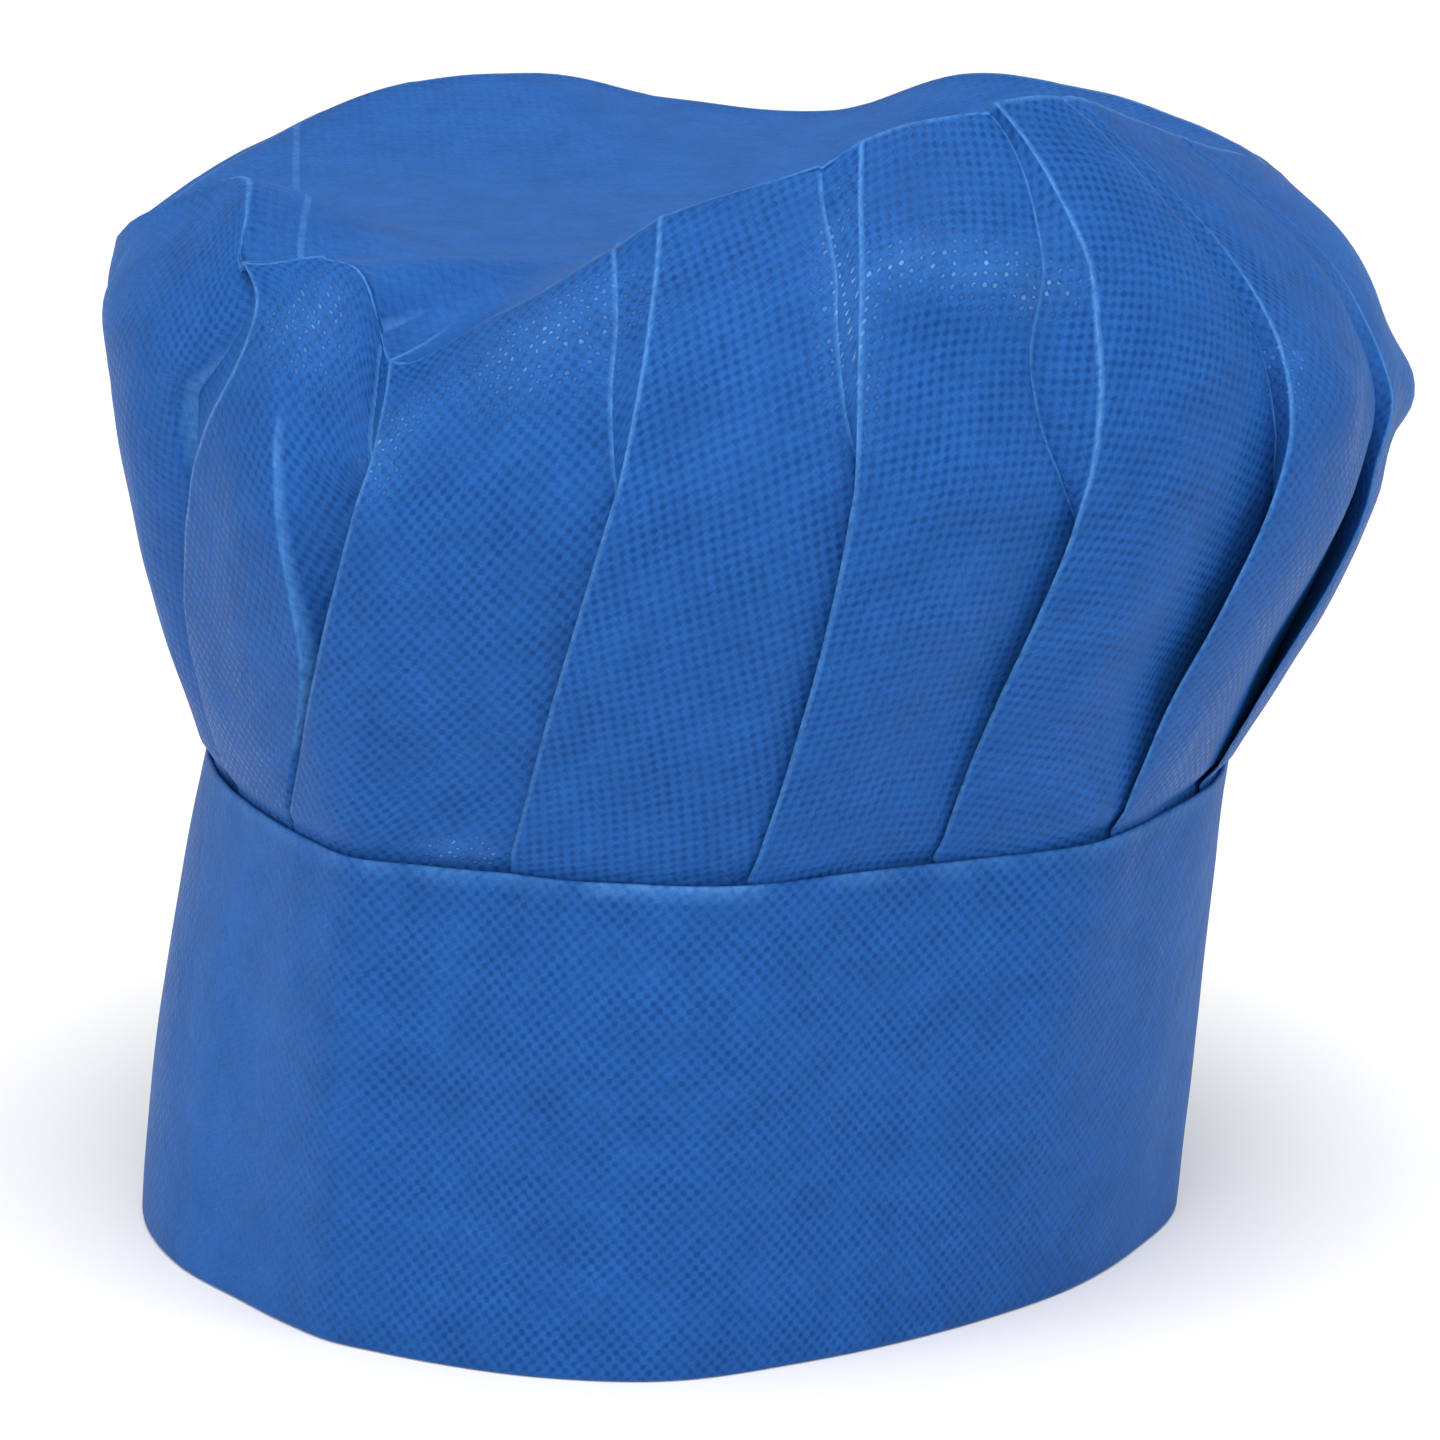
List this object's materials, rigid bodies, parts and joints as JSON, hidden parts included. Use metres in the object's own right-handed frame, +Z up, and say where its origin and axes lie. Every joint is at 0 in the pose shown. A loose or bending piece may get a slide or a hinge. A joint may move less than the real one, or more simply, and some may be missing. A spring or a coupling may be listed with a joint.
{
  "type": "non-woven chef hat",
  "caption": "Puffed chef hat of non-woven cloth: a tall folded head band and a round crown knife-pleated into it, with a dished top.",
  "frame": {"origin": "middle of the hat's bounding box, on the surface that the band's lower edge rests on", "axes": "+Z up out of the crown, -Y towards the front of the hat, +X to the right of someone facing the front"},
  "size_m": [0.2336, 0.2172, 0.2237],
  "materials": {
    "band_cloth": "matte spunbond polypropylene with a square grid of small embossed bond points, royal blue",
    "crown_cloth": "matte spunbond polypropylene with a square grid of small embossed bond points, royal blue"
  },
  "bodies": {
    "root": {"head_band": "band_cloth", "crown": "crown_cloth"}
  },
  "joints": []
}
